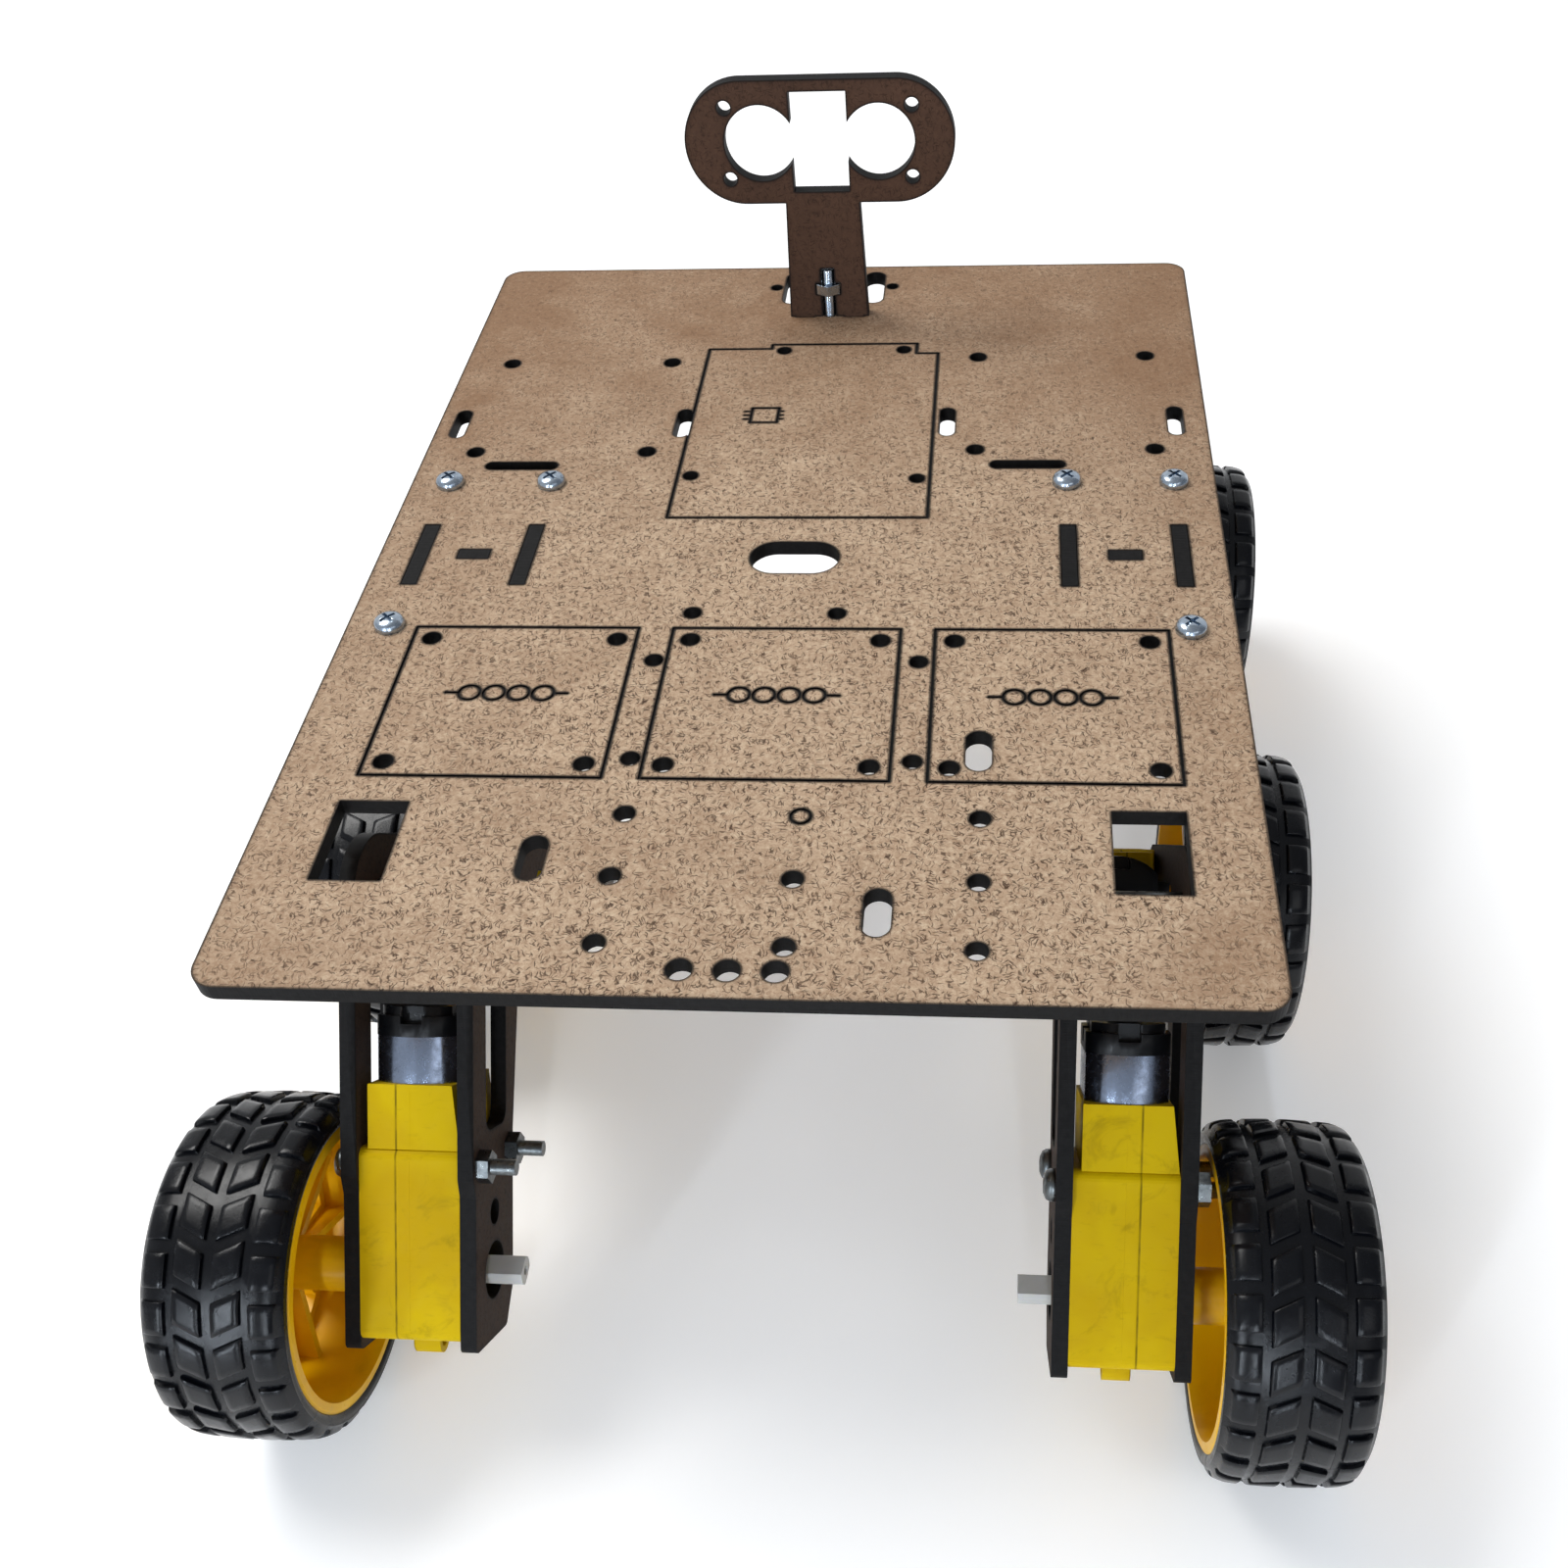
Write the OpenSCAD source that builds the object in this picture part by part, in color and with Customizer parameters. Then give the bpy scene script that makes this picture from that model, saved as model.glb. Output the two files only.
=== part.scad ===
// Six-wheel rocker-bogie robot chassis in laser-cut 3 mm fibreboard.
// A drilled deck carries a hanger under each edge; each hanger holds a rocker
// arm with a driven front wheel, and each rocker holds a bogie with two driven
// wheels.  +Y is forward, +X is to the right, Z = 0 is the ground.

/* [Deck] */
// Length of the deck plate, back to front
deck_l = 236.4; // [235:0.2:246]
// Width of the deck plate, side to side
deck_w = 170; // [170:1:180]
// Corner radius of the deck plate
deck_r = 4.5; // [3:0.5:8]
// Height of the deck's top face above the ground
deck_top = 113; // [112:1:120]
// How far the deck's rear edge lies behind the wheelbase centre
deck_back = 104.5; // [103:0.5:106]

/* [Sheet] */
// Thickness of the fibreboard sheet
sheet_t = 3; // [2.8:0.1:3.1]
// Running gap between sheets that slide past each other
gap = 0.3; // [0.2:0.05:0.35]
// Depth of the engraved lines
engrave_d = 0.35; // [0.2:0.05:0.6]

/* [Wheels] */
// Outer radius of the tyres
wheel_r = 33; // [32:0.5:34]
// Width of the tyres
wheel_w = 26; // [24:1:28]
// Distance from the mid plane to the inner side of the tyres
wheel_x = 80.8; // [80.8:0.1:82]
// Distance from the centre wheelbase line to the front and rear axles
axle_y = 108; // [106:0.5:110]

/* [Suspension] */
// Height of the suspension pivots above the ground
pivot_z = 83; // [83:0.5:84]
// Forward position of the rocker pivots on the hangers
rocker_y = 10; // [9:0.5:11]
// Half the spread of each inverted-V bogie
leg_run = 50; // [50:0.5:51]
// Half height of the rocker arm
arm_h = 9; // [8:0.5:9.5]

/* [Gearmotors] */
// Thickness of the gearbox between its two leg plates
box_t = 19; // [18.8:0.1:19.2]
// Width of the gearbox
box_w = 22.5; // [22:0.1:22.6]
// Radius of the double-ended output shaft
shaft_r = 2.7; // [2.6:0.05:2.75]
// Distance from the mid plane to the middle of each gearbox
mid_x = 65.4; // [65:0.1:65.5]

/* [Sensor bracket] */
// Height of the eye centres above the deck
eye_z = 39.7; // [36:0.5:44]
// Distance between the two eye openings
eye_gap = 26.3; // [26:0.1:27]
// Diameter of the eye openings
eye_d = 16; // [15:0.2:16.4]

/* [Hidden] */
$fn = 48;

e = 0.01;
deck_bot = deck_top - sheet_t;
axle_z = wheel_r;
// planes of the leg, bogie and hanger plates, as distances from the mid plane
in0 = mid_x - box_t / 2 - sheet_t;
in1 = mid_x - box_t / 2;
out0 = mid_x + box_t / 2;
out1 = mid_x + box_t / 2 + sheet_t;
arm0 = in0 - gap - sheet_t;
arm1 = in0 - gap;
front_dx = -gap;                       // the front fork sits against the arm
bogie_y = -(axle_y - leg_run);         // bogie pivot
middle_y = bogie_y + leg_run;          // middle axle
fork_y = axle_y - leg_run;             // apex of the front fork
leg_len = leg_run * sqrt(2);
m3 = 1.5;
m3_hole = 1.6;
m4 = 2.0;
m4_hole = 2.05;
m4_run = 2.06;
slot_w = sheet_t + 0.3;
bolt_u = 21.9;                         // gearbox bolts, along the leg
bolt_t = 8.75;                         // and across it
bolt_len = 32;
bracket_y = 106.6;
bracket_x = -0.6;

board = [0.70, 0.58, 0.46];
dark_board = [0.31, 0.23, 0.18];
bracket_brown = [0.24, 0.16, 0.12];
zinc = [0.75, 0.78, 0.82];
gear_yellow = [0.93, 0.78, 0.04];
rim_yellow = [0.94, 0.65, 0.05];
tyre_black = [0.10, 0.10, 0.12];
can_grey = [0.55, 0.55, 0.56];
cap_black = [0.06, 0.06, 0.06];
shaft_white = [0.90, 0.90, 0.88];

function arc(c, r, a0, a1, n = 6) =
  [for (i = [0:n]) c + r * [cos(a0 + (a1 - a0) * i / n), sin(a0 + (a1 - a0) * i / n)]];
function rrect(x0, y0, x1, y1, r, n = 6) = concat(
  arc([x0 + r, y0 + r], r, 180, 270, n), arc([x1 - r, y0 + r], r, 270, 360, n),
  arc([x1 - r, y1 - r], r, 0, 90, n), arc([x0 + r, y1 - r], r, 90, 180, n));

// ---- placing ----------------------------------------------------------------
module side(s) { if (s > 0) children(); else mirror([1, 0, 0]) children(); }
// leg frame: x runs up the leg from the axle, y is its upper side, z is outward
module up_leg(y) { translate([0, y, axle_z]) rotate([45, 0, 0]) rotate([90, 0, 90]) children(); }
module down_leg(y) { translate([0, y, axle_z]) mirror([0, 1, 0]) rotate([45, 0, 0]) rotate([90, 0, 90]) children(); }
// sheet parallel to the YZ plane, from x0 outward
module yz_sheet(x0) { translate([x0, 0, 0]) rotate([90, 0, 90]) linear_extrude(sheet_t) children(); }
module x_cyl(x0, x1, y, z, r) { translate([x0, y, z]) rotate([0, 90, 0]) cylinder(r = r, h = x1 - x0); }

// ---- fasteners --------------------------------------------------------------
// pan-head screw standing on z = 0, shank below
module screw(r, len, head_r = 3, head_h = 2.2) {
  difference() {
    union() {
      rotate_extrude() polygon([[0, 0], [head_r, 0], [head_r, head_h * 0.4],
        [head_r * 0.86, head_h * 0.75], [head_r * 0.5, head_h * 0.96], [0, head_h]]);
      translate([0, 0, -len]) cylinder(r = r, h = len + e);
      }
    for (a = [45, 135]) rotate([0, 0, a])
      translate([-head_r * 0.55, -head_r * 0.11, head_h - 1.1]) cube([head_r * 1.1, head_r * 0.22, 2]);
  }
}
module nut(r, flats, t) {
  difference() {
    cylinder(r = flats / sqrt(3), h = t, $fn = 6);
    translate([0, 0, -1]) cylinder(r = r + 0.05, h = t + 2, $fn = 32);
  }
}
// bolt along X from a head on the seat plane; dir = 1 runs toward +X
module x_bolt(r, seat, len, y, z, dir, head_r = 3, head_h = 2.2)
  translate([seat, y, z]) rotate([0, dir > 0 ? -90 : 90, 0]) screw(r, len, head_r, head_h);
module x_nut(r, x0, y, z, flats = 5.5, t = 2.4)
  translate([x0, y, z]) rotate([0, 90, 0]) nut(r, flats, t);

// ---- deck -------------------------------------------------------------------
module deck_hole(x, y, r) { translate([x, y, deck_bot - 1]) cylinder(r = r, h = sheet_t + 2); }
module deck_slot(x, y, lx, ly) {   // oblong with full round ends
  if (lx > ly) {
    translate([x - lx / 2 + ly / 2, y - ly / 2, deck_bot - 1]) cube([lx - ly, ly, sheet_t + 2]);
    for (k = [-1, 1]) deck_hole(x + k * (lx - ly) / 2, y, ly / 2);
  } else {
    translate([x - lx / 2, y - ly / 2 + lx / 2, deck_bot - 1]) cube([lx, ly - lx, sheet_t + 2]);
    for (k = [-1, 1]) deck_hole(x, y + k * (ly - lx) / 2, lx / 2);
  }
}
module deck_rect(x, y, lx, ly) { translate([x - lx / 2, y - ly / 2, deck_bot - 1]) cube([lx, ly, sheet_t + 2]); }
module engraved(x0, y0, x1, y1, w = 0.5)
  translate([min(x0, x1) - w / 2, min(y0, y1) - w / 2, deck_top - engrave_d])
    cube([abs(x1 - x0) + w, abs(y1 - y0) + w, 1]);
module engraved_ring(x, y, r, w = 0.5)
  translate([x, y, deck_top - engrave_d]) difference() {
    cylinder(r = r + w / 2, h = 1);
    translate([0, 0, -1]) cylinder(r = r - w / 2, h = 3);
  }
driver_x = [-49.2, 0.8, 50.6];
driver_y = -35.1;
module deck_cuts() {
  // microcontroller board: outline, four screw holes, plain chip mark
  engraved(-27.7, 22.4, 26, 22.4);
  engraved(-27.7, 22.4, -27.7, 91.3);
  engraved(26, 22.4, 26, 88.7);
  engraved(-27.7, 91.3, -13, 91.3);
  engraved(-13, 91.3, -13, 93.2);
  engraved(-13, 93.2, 21, 93.2);
  engraved(21, 88.7, 21, 93.2);
  engraved(21, 88.7, 26, 88.7);
  for (p = [[-10, 90.4], [18, 90.4], [-24.9, 37.9], [23.3, 36.7]]) deck_hole(p[0], p[1], 1.65);
  for (k = [0, 1]) {
    engraved(-14.6, 59 + 6 * k, -8.6, 59 + 6 * k);
    engraved(-14.6 + 6 * k, 59, -14.6 + 6 * k, 65);
    for (j = [0, 1, 2]) engraved(-16.2 + 7.6 * k + (k > 0 ? 0 : 0), 60.4 + 1.6 * j, -15.2 + 7.6 * k, 60.4 + 1.6 * j, 0.4);
  }
  // three motor-driver boards: outline, four screw holes, plain coil mark
  for (x = driver_x) {
    for (k = [-1, 1]) {
      engraved(x - 21.65, driver_y + 20.9 * k, x + 21.65, driver_y + 20.9 * k);
      engraved(x + 21.65 * k, driver_y - 20.9, x + 21.65 * k, driver_y + 20.9);
      for (j = [-1, 1]) deck_hole(x + 18 * k, driver_y + 17.4 * j, 1.85);
    }
    for (j = [-1.5:1:1.5]) engraved_ring(x + 4.6 * j, driver_y + 1.5, 2);
    engraved(x - 11.4, driver_y + 1.5, x - 9.1, driver_y + 1.5);
    engraved(x + 9.1, driver_y + 1.5, x + 11.4, driver_y + 1.5);
  }
  // stand-off holes between the boards
  for (p = [[-23.2, -23.9], [26.2, -23.9], [-23.2, -51], [26.2, -51], [-17.9, -9.5], [10, -9.5]])
    deck_hole(p[0], p[1], 1.75);
  // cable slot in the middle
  deck_slot(0.1, 8.6, 18, 10.5);
  // hanger tabs, hanger screws, brace tabs
  for (s = [-1, 1]) {
    for (x = [(in0 + in1) / 2, (out0 + out1) / 2]) {
      deck_rect(s * x, 9.6, slot_w, 20.6);
      deck_hole(s * x, 35, m3_hole);
    }
    deck_hole(s * (out0 + out1) / 2, -14, m3_hole);
    deck_rect(s * mid_x, 9.6, 6.7, slot_w);
    // rectangular cut-outs over the rear legs
    deck_rect(s * 65.95, -71.95, 12.3, 18.7);
  }
  // long thin slots
  deck_slot(-62.4, 41.9, 16, 3);
  deck_slot(46.4, 41.9, 16, 3);
  // tie slots
  for (x = [-79.9, -29.5, 29, 78.3]) deck_slot(x, 58.9, 3.4, 11.3);
  // two four-hole groups
  for (i = [-1, 1]) for (j = [-1, 1]) {
    deck_hole(-54.8 + 19 * i, 66.3 + 19 * j, 1.9);
    deck_hole(54.3 + 19 * i, 67.2 + 19.5 * j, 1.9);
  }
  // sensor bracket: tabs, screw, cable slots and small holes
  deck_hole(bracket_x, bracket_y + sheet_t / 2, m3_hole);
  for (k = [-1, 1]) {
    deck_rect(bracket_x + 5.9 * k, bracket_y + sheet_t / 2, 4.8, slot_w);
    deck_slot(bracket_x + 9.9 * k, 121, 4.8, 15.6);
    deck_hole(bracket_x + 14.3 * k, 121.4, 1.4);
  }
  // oblong slots at the back
  deck_slot(-35.7, -75.5, 4.6, 10.2);
  deck_slot(22.2, -86.2, 4.6, 10.2);
  deck_slot(37.6, -48, 4.6, 10.2);
  // grid of holes, one of them only marked
  for (x = [-21.9, 8.1, 38.1]) for (y = [-64.8, -79.3, -93.8])
    if (x == 8.1 && y == -64.8) engraved_ring(x, y, 1.7); else deck_hole(x, y, 1.85);
  for (x = [-7.7, -0.2, 7.3]) deck_hole(x, -98.8, 2.15);
}
module top_plate() color(board) difference() {
  translate([0, 0, deck_bot]) linear_extrude(sheet_t)
    polygon(rrect(-deck_w / 2, -deck_back, deck_w / 2, deck_l - deck_back, deck_r, 10));
  deck_cuts();
}

// ---- sensor bracket ---------------------------------------------------------
module sensor_bracket() color(bracket_brown) {
  zc = deck_top + eye_z;
  difference() {
    translate([bracket_x, bracket_y + sheet_t, 0]) rotate([90, 0, 0]) union() {
      translate([-17, zc - 13, 0]) cube([34, 26, sheet_t]);
      for (k = [-1, 1]) translate([17 * k, zc, 0]) cylinder(r = 13, h = sheet_t, $fn = 72);
      linear_extrude(sheet_t) polygon([[-9.4, deck_top], [9.4, deck_top], [8.4, zc - 11], [-8.4, zc - 11]]);
      for (k = [-1, 1]) translate([5.9 * k - 2.2, deck_bot, 0]) cube([4.4, sheet_t + e, sheet_t]);
    }
    for (k = [-1, 1]) translate([bracket_x + k * eye_gap / 2, bracket_y - 1, zc]) rotate([-90, 0, 0])
      cylinder(r = eye_d / 2, h = sheet_t + 2, $fn = 72);
    translate([bracket_x - 6.25, bracket_y - 1, zc - 10.5]) cube([12.5, sheet_t + 2, 21]);
    for (i = [-1, 1]) for (j = [-1, 1])
      translate([bracket_x + 20.55 * i, bracket_y - 1, zc + 7.5 * j]) rotate([-90, 0, 0])
        cylinder(r = 1.5, h = sheet_t + 2);
    translate([bracket_x - 1.6, bracket_y - 1, deck_bot - 1]) cube([3.2, sheet_t + 2, 15.6]);
    translate([bracket_x - 2.9, bracket_y - 1, deck_top + 5.4]) cube([5.8, sheet_t + 2, 2.7]);
  }
}

// ---- hangers ----------------------------------------------------------------
module hanger(x0, back) difference() {
  union() {
    yz_sheet(x0) polygon([[back, deck_bot], [back, deck_bot - 12], [rocker_y - 8.6, pivot_z - 2.6],
      [rocker_y + 8.6, pivot_z - 2.6], [42, deck_bot - 13], [42, deck_bot]]);
    x_cyl(x0, x0 + sheet_t, rocker_y, pivot_z, 9);
    translate([x0, -0.55, deck_bot - e]) cube([sheet_t, 20.3, sheet_t + e]);
  }
  x_cyl(x0 - 1, x0 + sheet_t + 1, rocker_y, pivot_z, m4_hole);
  // screw slots with nut pockets
  for (y = back < -10 ? [-14, 35] : [35]) {
    translate([x0 - 1, y - 1.6, deck_bot - 9.6]) cube([sheet_t + 2, 3.2, 10]);
    translate([x0 - 1, y - 3.2, deck_bot - 8]) cube([sheet_t + 2, 6.4, 2.6]);
  }
  // brace tab
  translate([x0 - 1, 8, deck_bot - 12.1]) cube([sheet_t + 2, sheet_t + 0.2, 6.2]);
}
module hanger_outer(s) color(dark_board) side(s) hanger(out0, -22);
module hanger_inner(s) color(dark_board) side(s) hanger(in0, -6);
module hanger_brace(s) color(dark_board) side(s) union() {
  translate([in1, 8.1, deck_bot - 17]) cube([box_t, sheet_t, 17]);
  translate([mid_x - 3.2, 8.1, deck_bot - e]) cube([6.4, sheet_t, sheet_t + e]);
  translate([in0, 8.1, deck_bot - 12]) cube([box_t + 2 * sheet_t, sheet_t, 6]);
}
// screws down through the deck into the hangers, and one up into the bracket
module chassis_screws() color(zinc) {
  for (s = [-1, 1]) {
    for (x = [(in0 + in1) / 2, (out0 + out1) / 2]) translate([s * x, 35, deck_top]) screw(m3, 12);
    translate([s * (out0 + out1) / 2, -14, deck_top]) screw(m3, 12);
  }
  translate([bracket_x, bracket_y + sheet_t / 2, deck_bot]) rotate([180, 0, 0]) screw(m3, 14);
}
module chassis_nuts() color(zinc) {
  for (s = [-1, 1]) {
    for (x = [(in0 + in1) / 2, (out0 + out1) / 2]) translate([s * x, 35, deck_bot - 7.9]) rotate([0, 0, 0]) nut(m3, 5.5, 2.4);
    translate([s * (out0 + out1) / 2, -14, deck_bot - 7.9]) nut(m3, 5.5, 2.4);
  }
  translate([bracket_x, bracket_y + sheet_t / 2, deck_top + 5.5]) rotate([0, 0, 30]) nut(m3, 5.5, 2.4);
}
module rocker_pivot_bolts() color(zinc) for (s = [-1, 1]) side(s) {
  x_bolt(m4, arm0 - 0.25, out1 + 2.4 - arm0 + 0.25, rocker_y, pivot_z, 1, 3.8, 2.6);
  x_nut(m4, out1, rocker_y, pivot_z, 7, 2.2);
}
module rocker_pivot_spacers() color(zinc) for (s = [-1, 1]) side(s) difference() {
  x_cyl(in1, out0, rocker_y, pivot_z, 4);
  x_cyl(in1 - 1, out0 + 1, rocker_y, pivot_z, 2.15);
}

// ---- legs -------------------------------------------------------------------
// one 45 degree leg, in its own frame, with a round apex at the top
module leg_solid(x0) {
  translate([0, 0, x0]) linear_extrude(sheet_t) polygon(concat(
    arc([-11.6, 9.5], 1.6, 180, 90),
    [[16.4, 11.1], [19.9, 12.4], [leg_len, 12.4], [leg_len, -12.4], [50, -14.7], [25, -11.4]],
    arc([-5.2, -8.4], 3, 270, 225), arc([-11.4, -6.4], 1.8, 225, 180)));
  translate([leg_len, 0, x0]) cylinder(r = 12.4, h = sheet_t, $fn = 72);
}
module leg_holes(x0) {
  translate([0, 0, x0 - 1]) {
    cylinder(r = 5.5, h = sheet_t + 2);
    translate([11.3, 0, 0]) cylinder(r = 2.5, h = sheet_t + 2);
    for (k = [-1, 1]) translate([bolt_u, bolt_t * k, 0]) cylinder(r = m3_hole, h = sheet_t + 2);
    linear_extrude(sheet_t + 2) polygon(rrect(27.5, -7, 55, 5, 3));
  }
}
module bogie_plate(x0) difference() {
  union() { up_leg(-axle_y) leg_solid(x0); down_leg(middle_y) leg_solid(x0); }
  up_leg(-axle_y) leg_holes(x0);
  down_leg(middle_y) leg_holes(x0);
  x_cyl(x0 - 1, x0 + sheet_t + 1, bogie_y, pivot_z, m4_run);
}
module bogie_outer(s) color(dark_board) side(s) bogie_plate(out0);
module bogie_inner(s) color(dark_board) side(s) bogie_plate(in0);
module front_leg(x0, lock) difference() {
  down_leg(axle_y) leg_solid(x0);
  down_leg(axle_y) leg_holes(x0);
  x_cyl(x0 - 1, x0 + sheet_t + 1, fork_y, pivot_z, m4_hole);
  if (lock) for (k = [-8, 8]) x_cyl(x0 - 1, x0 + sheet_t + 1, fork_y + k, pivot_z, m3_hole);
}
module front_leg_outer(s) color(dark_board) side(s) front_leg(out0 + front_dx, false);
module front_leg_inner(s) color(dark_board) side(s) front_leg(in0 + front_dx, true);
module rocker_arm(s) color(dark_board) side(s) difference() {
  union() {
    translate([arm0, bogie_y, pivot_z - arm_h]) cube([sheet_t, fork_y + 8 - bogie_y, 2 * arm_h]);
    x_cyl(arm0, arm1, bogie_y, pivot_z, arm_h);
    x_cyl(arm0, arm1, fork_y + 8, pivot_z, arm_h);
  }
  x_cyl(arm0 - 1, arm1 + 1, bogie_y, pivot_z, m4_hole);
  x_cyl(arm0 - 1, arm1 + 1, rocker_y, pivot_z, m4_run);
  x_cyl(arm0 - 1, arm1 + 1, fork_y, pivot_z, m4_hole);
  for (k = [-8, 8]) x_cyl(arm0 - 1, arm1 + 1, fork_y + k, pivot_z, m3_hole);
}

// ---- gearmotors -------------------------------------------------------------
// half of a gearbox in the leg frame: o = 1 is the half away from the mid plane.
// The half that faces -X (s * o < 0) steps down to the motor collar, the other tapers.
module gearbox_half(s, o, dx) translate([0, 0, mid_x + dx]) mirror([0, 0, o > 0 ? 0 : 1]) {
  difference() {
    union() {
      linear_extrude(box_t / 2) polygon(rrect(-11.2, -box_w / 2, 25.3, box_w / 2, 2));
      translate([0, 10.75, 0]) rotate([90, 0, 0]) linear_extrude(21.5)
        polygon([[25, 0], [25, s * o < 0 ? 7.95 : 9.35], [37.1, 7.95], [37.1, 0]]);
      if (o > 0) translate([11.3, 0, 0]) cylinder(r = 2, h = box_t / 2 + 2);
      else difference() {   // strap eye, centred on the seam
        union() {
          translate([-14, -2.6, -2.6]) cube([3.2, 5.2, 5.2]);
          translate([-14, 0, -2.6]) cylinder(r = 2.6, h = 5.2);
        }
        translate([-11.25, -4, -3]) cube([10, 8, 3]);
      }
    }
    // gear space
    translate([0, 0, -e]) linear_extrude(box_t / 2 - 1.8 + e) polygon(rrect(-9.2, -9.2, 16.5, 9.2, 1.5));
    // motor pocket
    intersection() {
      translate([26, 0, 0]) rotate([0, 90, 0]) cylinder(r = 10, h = 20, $fn = 64);
      translate([25, -11, -7.5]) cube([22, 22, 15]);
    }
    translate([0, 0, -3]) cylinder(r = shaft_r + 0.06, h = box_t);
    if (o < 0) translate([-14, 0, -4]) cylinder(r = 1.4, h = 8);
    for (k = [-1, 1]) translate([bolt_u, bolt_t * k, -3]) cylinder(r = m3_hole, h = box_t);
  }
}
module motor_section(u0, u1, r, half) intersection() {
  translate([u0, 0, 0]) rotate([0, 90, 0]) cylinder(r = r, h = u1 - u0, $fn = 64);
  translate([u0 - 1, -r - 1, -half]) cube([u1 - u0 + 2, 2 * r + 2, 2 * half]);
}
module motor_can(dx) translate([0, 0, mid_x + dx]) motor_section(26, 45.8, 10, 7.5);
module motor_cap(dx) translate([0, 0, mid_x + dx]) difference() {
  union() {
    motor_section(45.8, 49.6, 10.05, 7.6);
    motor_section(49.6 - e, 51.3, 9.1, 6.6);
    translate([51, 0, 0]) rotate([0, 90, 0]) cylinder(r = 3.2, h = 1.6);
  }
  translate([48.2, 7.6, -2]) cube([5, 4, 4]);
  translate([48.2, -11.6, -2]) cube([5, 4, 4]);
  translate([47, -1.6, 6.3]) cube([6, 3.2, 3]);
  translate([47, -1.6, -9.3]) cube([6, 3.2, 3]);
}
// the two long bolts through a gearmotor and its leg plates; every head faces -X
module motor_bolts(s, dx) for (k = [-1, 1]) translate([bolt_u, bolt_t * k, 0]) {
  if (s > 0) {
    translate([0, 0, in0 + dx]) rotate([180, 0, 0]) screw(m3, bolt_len);
    translate([0, 0, out1 + dx]) nut(m3, 5.5, 2.4);
  } else {
    translate([0, 0, out1 + dx]) screw(m3, bolt_len);
    translate([0, 0, in0 + dx - 2.4]) nut(m3, 5.5, 2.4);
  }
}
module both_bogie_legs() { up_leg(-axle_y) children(); down_leg(middle_y) children(); }
module bogie_gearboxes(s, o) color(gear_yellow) side(s) both_bogie_legs() gearbox_half(s, o, 0);
module bogie_motor_cans(s) color(can_grey) side(s) both_bogie_legs() motor_can(0);
module bogie_motor_caps(s) color(cap_black) side(s) both_bogie_legs() motor_cap(0);
module bogie_fasteners(s) color(zinc) side(s) {
  both_bogie_legs() motor_bolts(s, 0);
  difference() {
    x_cyl(in1, out0, bogie_y, pivot_z, 4);
    x_cyl(in1 - 1, out0 + 1, bogie_y, pivot_z, 2.1);
  }
}
module front_gearbox(s, o) color(gear_yellow) side(s) down_leg(axle_y) gearbox_half(s, o, front_dx);
module front_motor_can(s) color(can_grey) side(s) down_leg(axle_y) motor_can(front_dx);
module front_motor_cap(s) color(cap_black) side(s) down_leg(axle_y) motor_cap(front_dx);
module rocker_fasteners(s) color(zinc) side(s) {
  down_leg(axle_y) motor_bolts(s, front_dx);
  // bogie pivot bolt, clamped to the arm; its nut leaves the bogie free to turn
  x_bolt(m4, arm0, out1 + gap + 5 - arm0, bogie_y, pivot_z, 1, 3.8, 2.6);
  x_nut(m4, out1 + gap, bogie_y, pivot_z, 7, 4.2);
  // fork tie bolt with its spacer tube
  x_bolt(m4, arm0, out1 + front_dx + 4.5 - arm0, fork_y, pivot_z, 1, 3.8, 2.6);
  x_nut(m4, out1 + front_dx, fork_y, pivot_z, 7, 3.2);
  difference() {
    x_cyl(in1 + front_dx, out0 + front_dx, fork_y, pivot_z, 4);
    x_cyl(in1 - 2, out0 + 2, fork_y, pivot_z, 2.1);
  }
  // screws that lock the arm to the inner fork plate
  for (k = [-8, 8]) {
    x_bolt(m3, arm0, 10, fork_y + k, pivot_z, 1);
    x_nut(m3, in1 + front_dx, fork_y + k, pivot_z);
  }
}

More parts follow.
